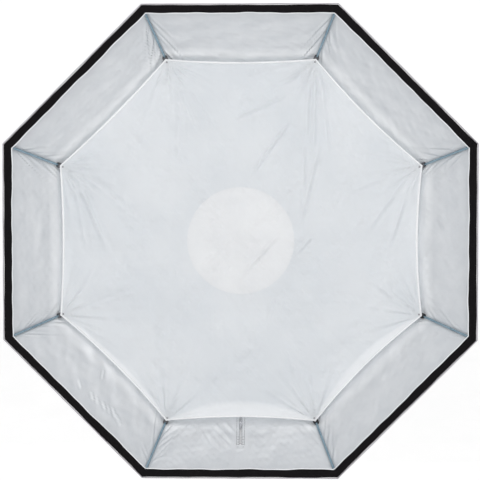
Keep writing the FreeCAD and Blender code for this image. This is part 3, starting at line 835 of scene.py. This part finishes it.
BRACKET_PAINT = worn_paint("bracket_metal", (0.022, 0.022, 0.024), (0.13, 0.13, 0.135))
TIP_PLASTIC = plastic("tip_plastic", (0.16, 0.22, 0.27), (0.22, 0.29, 0.34), 0.45)
KNOB_PLASTIC = plastic("knob_plastic", (0.013, 0.013, 0.015), (0.022, 0.022, 0.025), 0.42)


def dress(node, material):
    """Give a CAD node its finished material."""
    piece = NODES[node]
    if not piece.material_slots:
        piece.data.materials.append(material)
    for place_on in piece.material_slots:
        place_on.material = material


def dress_cad_nodes():
    finishes = {
        "mount_insert": ALUMINIUM, "speedring_body": PAINT, "ring_retainer": PAINT, "retainer_screws": BRIGHT,
        "hinge_pins": BRIGHT, "lock_stud": BRIGHT, "lock_knob": KNOB_PLASTIC, "zip_stops": PLATED,
        "zip_slider": PLATED, "zip_pull": PLATED,
    }
    for number in range(1, SIDES + 1):
        finishes["rod_bracket_%d" % number] = BRACKET_PAINT
        finishes["rod_%d" % number] = ROD
        finishes["rod_tip_%d" % number] = TIP_PLASTIC
    for node, material in finishes.items():
        dress(node, material)


# ---------------------------------------------------------------- pieces

def gather(piece, number):
    """Ride with a rod, with a mesh of its own."""
    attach(piece, "rod_%d" % number)
    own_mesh(piece)


def spaced(start, end, fine, coarse):
    """Distances from start to end whose steps grow evenly from fine to coarse."""
    count = max(2, int(round(2 * abs(end - start) / (fine + coarse))))
    share = np.arange(count + 1) / count
    bend = (coarse - fine) / (coarse + fine)
    return start + (end - start) * ((1 - bend) * share + bend * share ** 2)


def gore_half(index, side, part, s_values):
    name = FLAT_NAMES[index]
    number = rod_beside(index, side)
    coarse = 0.0055 if name in FINE_GORES else 0.013
    from_rod = spaced(0.0, 1.0, 0.0035 / 0.31, coarse / 0.31)
    s = s_values[:, None] * np.ones_like(from_rod)[None, :]
    apothem, _, slope = PROFILE.at(s)
    across = apothem * HALF_TAN * (1 - from_rod)[None, :]
    if name == "bottom":
        open_share = smooth((s - ZIP_FROM) / 0.004) * smooth((ZIP_TO - s) / 0.004)
        across = np.maximum(across, ZIP_SLOT_HALF * open_share)
    across = side * across

    def point(u, v):
        return gore_point(index, u, v)
    inward = inwards(flat_angle(index), slope)
    front = point(s, across)
    normal = surface_normals(point, s, across, inward)
    hand = {1: "after", -1: "before"}[side]
    piece = shell("gore_%s_%s_%s" % (name, hand, part), front, normal, gore_point(index, s, across, -CLOTH),
                  np.stack([across, s], axis=-1), [SILVER, BLACK])
    gather(piece, number)
    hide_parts("gore_" + name)


def make_gores():
    for index, name in enumerate(FLAT_NAMES):
        start = 0.0
        for part, apothem, spaces, keep in ZIP_GORE_PARTS if name == "bottom" else GORE_PARTS:
            if apothem:
                rows = np.linspace(start, PROFILE.length_at(apothem), spaces + 1)
            else:
                length = SEAM_LENGTH - start
                rows = SEAM_LENGTH - spaced(0, length, 0.0045, 0.0045 + 0.01 * length)[::-1]
            start = rows[-1]
            for side in (-1, 1):
                gore_half(index, side, part, rows)


# Bound tapes, on the seams and along the zip, and the gap between a seam's tape and the cloth
TAPE_THICKNESS = 0.0008
SEAM_TAPE_GAP = 0.0012


def make_seam_tapes():
    """The bound seam outside each rod."""
    s = np.linspace(0.004, SEAM_LENGTH - 0.002, 150)
    offsets = [0.0075, 0.0050, 0.0022]
    for number in range(1, SIDES + 1):
        columns = []
        for index, side, rows in (((number - 1) % SIDES, 1, offsets), (number % SIDES, -1, offsets[::-1])):
            apothem, _, slope = PROFILE.at(s)
            for offset in rows:
                across = side * (apothem * HALF_TAN - offset)
                columns.append(gore_point(index, s, across, -(CLOTH + SEAM_TAPE_GAP)))
        grid = np.stack(columns, axis=1)
        toward = -inwards(corner_angle(number), slope)[:, None, :]
        width = np.array([-1, -0.6, -0.2, 0.2, 0.6, 1]) * offsets[0]
        uv = pairs(width[None, :], s[:, None])
        piece = strip("seam_tape_%d" % number, grid, toward, TAPE_THICKNESS, uv, [BLACK, BLACK])
        gather(piece, number)


def make_rim():
    """Loop strip, the pale fold inside it and the piping outside it, in halves per flat."""
    along = np.linspace(0, 1, 64)
    across_strip = np.linspace(0, 1, 7)
    wobble = waves(5, 0.05, 0.22, 70)
    for index in range(SIDES):
        for side in (-1, 1):
            number = rod_beside(index, side)
            hand = {1: "after", -1: "before"}[side]
            tag = "%s_%s" % (FLAT_NAMES[index], hand)
            angle = flat_angle(index)
            v = along[:, None]
            where = index * 0.7 + side * v * 0.31
            inner = LOOP_OUTER - LOOP_WIDTH + 0.0011 * wobble(where, 0.1)
            edge = across_strip[None, :]
            apothem = inner + (LOOP_OUTER + 0.0003 * wobble(where, 0.5) - inner) * edge
            crown = 0.0005 * (1 - (2 * edge - 1) ** 2)
            across = side * apothem * HALF_TAN * v
            depth = RIM_FRONT - 0.0004 + crown + 0.0004 * wobble(where, 0.9)
            front = place(angle, apothem, across, depth)
            piece = strip("loop_strip_" + tag, front, FORWARD, 0.0015, pairs(across, apothem), [LOOP, LOOP])
            gather(piece, number)
            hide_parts("front_loop_strip")

            line = LOOP_OUTER - LOOP_WIDTH + 0.0011 * wobble(index * 0.7 + side * along * 0.31, 0.1) - 0.0010
            path = place(angle, line, side * line * HALF_TAN * along, RIM_BACK - 0.0006)
            out = np.broadcast_to(direction(angle), path.shape)
            forward = np.broadcast_to(FORWARD, path.shape)
            fold = tube("rim_fold_" + tag, path, out, forward, 0.0018, 0.0009, [FOLD_EDGE], 10)
            gather(fold, number)

            line = PIPING_APOTHEM + 0.0003 * wobble(where[:, 0], 1.7)
            depth = PIPING_DEPTH + 0.0002 * wobble(where[:, 0], 2.3)
            path = place(angle, line, side * line * HALF_TAN * along, depth)
            cord = tube("piping_" + tag, path, out, forward, PIPING_RADIUS, PIPING_RADIUS, [PIPING], 12)
            gather(cord, number)
            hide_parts("edge_piping")


def hang(piece, number):
    """Ride with a baffle tab, with a mesh of its own."""
    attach(piece, "baffle_tab_%d" % number)
    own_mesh(piece)


def paint_double_layer_and_light(piece, share):
    """Store how far the cloth is turned out at each point, for the whiter colour painted there: partly the
    double cloth, partly painted light.
    """
    layer = piece.data.attributes.new("double_layer_and_light", "FLOAT", "POINT")
    layer.data.foreach_set("value", np.concatenate([share.ravel(), share.ravel()]).astype(np.float32))


def baffle_sector(number, name, radii_share, forward, thickness, edge, materials):
    """One eighth of a round or eight-sided sheet of the baffle, about one corner."""
    turn = corner_angle(number) + HALF_ANGLE * np.linspace(-1, 1, 93)
    theta = turn[None, :] * np.ones_like(radii_share)[:, None]
    radius = np.maximum(radii_share[:, None] * edge(turn)[None, :], 0.0004)
    x, z = radius * np.cos(theta), radius * np.sin(theta)

    def point(u, v):
        return baffle_point(u, v, forward)
    front = point(x, z)
    normal = surface_normals(point, x, z, FORWARD)
    back = baffle_point(x, z, forward - thickness)
    piece = shell(name, front, normal, back, pairs(x, z), materials)
    hang(piece, number)
    return piece, x, z


def make_baffle():
    outwards = 1 - spaced(0, 1, 0.0035 / 0.6, 0.0080 / 0.6)[::-1]
    disc_share = np.linspace(0, 1, 30)
    for number in range(1, SIDES + 1):
        piece, x, z = baffle_sector(number, "baffle_sector_%d" % number, outwards, 0.0, BAFFLE_CLOTH,
                                    lambda turn: baffle_edge_radius(turn % (2 * math.pi)), [BAFFLE, BAFFLE])
        share, _ = curl_share(x, z)
        paint_double_layer_and_light(piece, 0.9 * smooth(share * 3.0))
        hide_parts("inner_baffle")
        disc, _, _ = baffle_sector(number, "centre_disc_%d" % number, disc_share, 0.0010, 0.0006,
                                   lambda turn: DISC_RADIUS + 0 * turn, [DISC, DISC])
        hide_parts("centre_disc")

        turn = corner_angle(number) + HALF_ANGLE * np.linspace(-1, 1, 151)
        radius = baffle_edge_radius(turn % (2 * math.pi)) - 0.35 * HEM_HALF_WIDTH
        path = baffle_point(radius * np.cos(turn), radius * np.sin(turn), 0.0002)
        out = np.stack([np.cos(turn), 0 * turn, np.sin(turn)], axis=-1)
        forward = np.broadcast_to(FORWARD, path.shape)
        ripple = HEM_HALF_WIDTH * (1 + 0.10 * np.sin(turn * 260) + 0.06 * np.sin(turn * 431))
        hem = tube("baffle_hem_%d" % number, path, out, forward, ripple, HEM_HALF_DEPTH, [HEM], 10)
        hang(hem, number)
        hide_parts("baffle_hem")


WEBBING_THICKNESS = 0.0012


def make_baffle_tabs():
    """Webbing that wraps behind each rod and holds the baffle's corner, with its press stud."""
    hinge = JOINTS["tab_bend_1"]["pos_m"]
    rod_radius = math.hypot(hinge[0], hinge[2])
    slope = math.asin((rod_radius - BEND_CENTRE[0]) / BEND_RADIUS)
    outline = [(0.0068, 0.0125), (0.0069, 0.0075), (0.0066, 0.0025), (0.0054, -0.0022), (0.0031, -0.0049)]
    loop = outline + [(0.0, -0.0055)] + [(-t, n) for t, n in outline[::-1]]
    along = np.linspace(-0.010, 0.007, 6)
    reach = np.linspace(rod_radius + 0.006, rod_radius - 0.026, 9)
    for number in range(1, SIDES + 1):
        angle = corner_angle(number)
        t = np.array([row[0] for row in loop])[:, None] + TAB_LEAN[number - 1]
        n = np.array([row[1] for row in loop])[:, None]
        radius = rod_radius + 0.004 + along[None, :] * math.cos(slope) - n * math.sin(slope)
        depth = -hinge[1] + 0.0035 + along[None, :] * math.sin(slope) + n * math.cos(slope)
        grid = place(angle, radius, t + 0 * along[None, :], depth)
        toward = place(angle, 0 * t, -t, 0.004)
        webbing = [WEBBING if number in DARK_TABS else WORN_WEBBING] * 2
        uv = pairs(t, along[None, :])
        wrap = strip("tab_loop_%d" % number, grid, toward, WEBBING_THICKNESS, uv, webbing)
        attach(wrap, "baffle_tab_%d" % number)
        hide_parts("baffle_tab_%d" % number)

        width = np.linspace(-0.0085, 0.0085, 6)
        dip = -0.0030 - 0.0045 * smooth(np.linspace(0, 1, 9))
        tongue_grid = place(angle, reach[:, None] + 0 * width, width[None, :] + 0 * reach[:, None],
                            (BAFFLE_DEPTH + dip)[:, None] + 0 * width)
        uv = pairs(width[None, :], reach[:, None])
        tongue = strip("tab_tongue_%d" % number, tongue_grid, FORWARD, WEBBING_THICKNESS, uv, webbing)
        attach(tongue, "baffle_tab_%d" % number)

        spot = SNAP_RADIUS * direction(angle)
        rise = float(baffle_height(np.array([spot[0]]), np.array([spot[2]]))[0])
        dome = [(0.0029, 0.0), (0.0031, 0.0006), (0.0028, 0.0011), (0.0022, 0.0014), (0.0018, 0.0012),
                (0.0013, 0.0016), (0.0006, 0.0018)]
        stud = lathe("snap_%d" % number, dome, angle, SNAP_RADIUS, BAFFLE_DEPTH + rise + 0.0003, [DARK_SNAP])
        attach(stud, "baffle_tab_%d" % number)
        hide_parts("baffle_snaps")


def make_corner_pockets():
    """Cloth pockets sewn round the rod tips, behind the rim."""
    share = np.linspace(0, 1, 14)
    along = -0.007 + 0.0125 * share
    swell = np.array([1.0, 1.04, 1.0, 0.97, 0.98, 1.0, 1.01, 1.0, 0.99, 0.98, 0.96, 0.88, 0.70, 0.35])
    for number in range(1, SIDES + 1):
        angle = corner_angle(number)
        radius = TIP[0] + along * math.cos(TIP_SLOPE)
        depth = TIP[1] + along * math.sin(TIP_SLOPE)
        path = place(angle, radius, 0 * along, depth)
        side = np.broadcast_to(sideways(angle), path.shape)
        over = -math.sin(TIP_SLOPE) * direction(angle) + math.cos(TIP_SLOPE) * FORWARD
        pocket = tube("corner_pocket_%d" % number, path, side, np.broadcast_to(over, path.shape),
                      0.0066 * swell, 0.0060 * swell, [FOLD_EDGE], 20)
        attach(pocket, "rod_%d" % number)
        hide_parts("corner_pockets")


def make_rear_collar():
    """Gathered black cloth round the speedring, closing the back."""
    outline = [(0.0886, 0.0125), (0.0884, 0.0190), (0.0886, 0.0255), (0.0925, 0.0266), (0.0985, 0.0272),
               (0.1018, 0.0276), (0.1022, 0.0266), (0.0985, 0.0257), (0.0935, 0.0250), (0.0905, 0.0238),
               (0.0902, 0.0190), (0.0904, 0.0125)]
    around = 384
    turn = np.arange(around) * 2 * math.pi / around
    pleat = 0.5 + 0.5 * np.sin(turn * 56 + 0.8 * np.sin(turn * 5))
    rings = []
    for k, (radius, depth) in enumerate(outline):
        outer = 1.0 if k >= 6 else 0.0
        r = radius + 0.0007 * pleat * outer
        y = -(depth - 0.0005 * pleat * outer)
        rings.append(np.stack([r * np.cos(turn), y, r * np.sin(turn)], axis=-1))
    index = np.arange(len(outline) * around).reshape(len(outline), around)
    after = np.roll(index, -1, axis=1)
    below = np.roll(index, -1, axis=0)
    corner = np.roll(after, -1, axis=0)
    faces = np.stack([index, after, corner, below], axis=-1).reshape(-1, 4)
    collar = link("rear_collar_cloth", np.concatenate(rings), faces, [BLACK_OBJECT])
    tidy_normals(collar)
    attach(collar, "speedring")
    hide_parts("rear_collar")


ZIP_SIDES = ((-1, "left"), (1, "right"))
# Thread: one stitch to the next, length of a stitch, height over the cloth and girth
STITCH_PITCH = 0.0048
STITCH_LENGTH = 0.0030
STITCH_RISE = 0.00015
THREAD_RADIUS = 0.00085


def make_zip():
    """Tapes and coil behind the slot in the bottom gore, and the stitching round them."""
    index = FLAT_NAMES.index("bottom")
    number = rod_beside(index, -1)
    angle = flat_angle(index)
    s = np.linspace(ZIP_FROM - 0.006, ZIP_TO + 0.006, 90)
    toward = inwards(angle, PROFILE.at(s)[2])[:, None, :]
    for side, name in ZIP_SIDES:
        across = side * np.linspace(0.0019, ZIP_HALF_WIDTH, 7)
        grid = gore_point(index, s[:, None], across[None, :] + 0 * s[:, None], -(CLOTH + 0.0004))
        uv = pairs(across[None, :], s[:, None])
        tape = strip("zip_tape_" + name, grid, toward, TAPE_THICKNESS, uv, [ZIP_TAPE, BLACK])
        gather(tape, number)
        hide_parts("zip_tapes")

    pitch = 0.0017
    s = np.arange(ZIP_FROM + 0.004, ZIP_TO - 0.004, pitch / 4)
    across = np.linspace(-0.0018, 0.0018, 7)
    tooth = 0.5 + 0.5 * np.cos(2 * math.pi * (s[:, None] / pitch + 0.5 * (across[None, :] > 0)))
    crown = 1 - (across[None, :] / 0.0021) ** 2
    rise = 0.0009 * crown * (0.45 + 0.55 * tooth) - 0.0004
    grid = gore_point(index, s[:, None], across[None, :] + 0 * s[:, None], rise)
    toward = inwards(angle, PROFILE.at(s)[2])[:, None, :]
    uv = pairs(across[None, :], s[:, None])
    coil = strip("zip_coil_teeth", grid, toward, 0.0016, uv, [COIL, COIL_OUTSIDE])
    gather(coil, number)
    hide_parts("zip_coil")

    for side, name in ZIP_SIDES:
        seams = stitch_row(index, side * 0.0128, ZIP_FROM, ZIP_TO + 0.004)
        seams += stitch_row(index, side * 0.0046, ZIP_FROM, ZIP_TO + 0.004)
        for step in BOX_STITCH_ROWS:
            seams += cross_row(index, ZIP_TO + step, side)
        stitching = many_beads("zip_stitching_" + name, seams, [THREAD])
        gather(stitching, rod_beside(index, side))


def stitch_row(index, across, start, end):
    """Stitches along the panel as (centre, way, up) rows."""
    rows = []
    for s in np.arange(start, end, STITCH_PITCH):
        ends = gore_point(index, np.array([s, s + STITCH_LENGTH]), np.array([across, across]), STITCH_RISE)
        up = inwards(flat_angle(index), PROFILE.at(np.array([s]))[2])[0]
        rows.append((ends.mean(axis=0), (ends[1] - ends[0]) / 2, up))
    return rows


def cross_row(index, s, side):
    """Stitches across the panel, from the slot to the tape's edge."""
    rows = []
    up = inwards(flat_angle(index), PROFILE.at(np.array([s]))[2])[0]
    for across in np.arange(0.0052, 0.0125, 0.0038):
        ends = gore_point(index, np.array([s, s]), side * np.array([across, across + 0.0024]), STITCH_RISE)
        rows.append((ends.mean(axis=0), (ends[1] - ends[0]) / 2, up))
    return rows


def many_beads(name, rows, materials):
    """One mesh of small thread loops."""
    around, rings = 6, 5
    vertices, faces = [], []
    for centre, way, up in rows:
        side = unit(np.cross(way, up))
        base = len(vertices)
        for k in range(rings):
            share = -1 + 2 * k / (rings - 1)
            girth = THREAD_RADIUS * math.sqrt(max(1 - share ** 2, 0.05))
            for m in range(around):
                turn = 2 * math.pi * m / around
                vertices.append(centre + way * share + girth * (math.cos(turn) * side + math.sin(turn) * up))
        for k in range(rings - 1):
            for m in range(around):
                a, b = base + k * around + m, base + k * around + (m + 1) % around
                faces.append([a, b, b + around, a + around])
        faces.append([base + m for m in range(around)][::-1])
        faces.append([base + (rings - 1) * around + m for m in range(around)])
    piece = link(name, vertices, faces, materials)
    tidy_normals(piece)
    return piece


# ---------------------------------------------------------------- studio

def make_studio():
    """A white floor that curves up into a backdrop, an even sky and soft lamps in front and above."""
    back, bend, level = 9.0, 3.0, -1.9
    profile = [(-30.0, level), (back - bend, level)]
    for step in range(1, 13):
        turn = step / 12 * math.pi / 2
        profile.append((back - bend + bend * math.sin(turn), level + bend * (1 - math.cos(turn))))
    profile.append((back, 25.0))
    vertices = [(x, y, z) for y, z in profile for x in (-30.0, 30.0)]
    faces = [(2 * k, 2 * k + 1, 2 * k + 3, 2 * k + 2) for k in range(len(profile) - 1)]
    floor_mesh = bpy.data.meshes.new("floor")
    floor_mesh.from_pydata(vertices, [], faces)
    material, nodes, links, shader = new_material("floor", 0.9)
    plain = texture_place(nodes, links, False)
    shader.inputs["Emission Color"].default_value = (1, 1, 1, 1)
    shader.inputs["Emission Strength"].default_value = 0.17
    tint = ramp(nodes, links, noise(nodes, links, plain, 3.0, 3.0), (0.93, 0.93, 0.93), (0.95, 0.95, 0.95))
    links.new(tint, shader.inputs["Base Color"])
    floor_mesh.materials.append(material)
    floor = bpy.data.objects.new("floor", floor_mesh)
    bpy.context.scene.collection.objects.link(floor)

    world = bpy.data.worlds.new("studio")
    world.use_nodes = True
    world.node_tree.nodes["Background"].inputs["Color"].default_value = (1.0, 1.0, 1.0, 1)
    world.node_tree.nodes["Background"].inputs["Strength"].default_value = 0.76
    bpy.context.scene.world = world

    for name, place_at, size, power in (
        ("key", (0.4, -4.0, 3.4), 3.2, 68),
        ("front", (-0.4, -6.5, 1.5), 2.6, 44),
        ("back", (1.5, 3.8, 2.6), 2.4, 40),
    ):
        light = bpy.data.lights.new(name, "AREA")
        light.size = size
        light.energy = power
        lamp = bpy.data.objects.new(name, light)
        lamp.location = place_at
        aim = -np.array(place_at) + np.array([0, -0.25, 0])
        lamp.rotation_euler = Vector(aim).to_track_quat("-Z", "Y").to_euler()
        bpy.context.scene.collection.objects.link(lamp)


def make_camera():
    """A long lens, a little above and to the right of the axis."""
    distance = 5.0
    filled = 0.9914583333
    seen_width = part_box("edge_piping")[1][0] * 2 / filled
    camera = bpy.data.cameras.new("camera")
    camera.sensor_width = 36.0
    camera.lens = 36.0 * distance / seen_width
    camera.shift_x = 0.0005
    camera.shift_y = 0.0045
    camera.clip_end = 200
    view = bpy.data.objects.new("camera", camera)
    aside, above = math.radians(1.2), math.radians(1.9)
    way = Vector((math.sin(aside) * math.cos(above), -math.cos(aside) * math.cos(above), math.sin(above)))
    view.location = Vector((0, -RIM_FRONT, 0)) + distance * way
    view.rotation_euler = way.to_track_quat("Z", "Y").to_euler()
    bpy.context.scene.collection.objects.link(view)
    bpy.context.scene.camera = view


make_camera()
make_studio()
dress_cad_nodes()
make_gores()
make_seam_tapes()
make_rim()
make_baffle()
make_baffle_tabs()
make_corner_pockets()
make_rear_collar()
make_zip()
bpy.context.scene.view_settings.view_transform = "Standard"
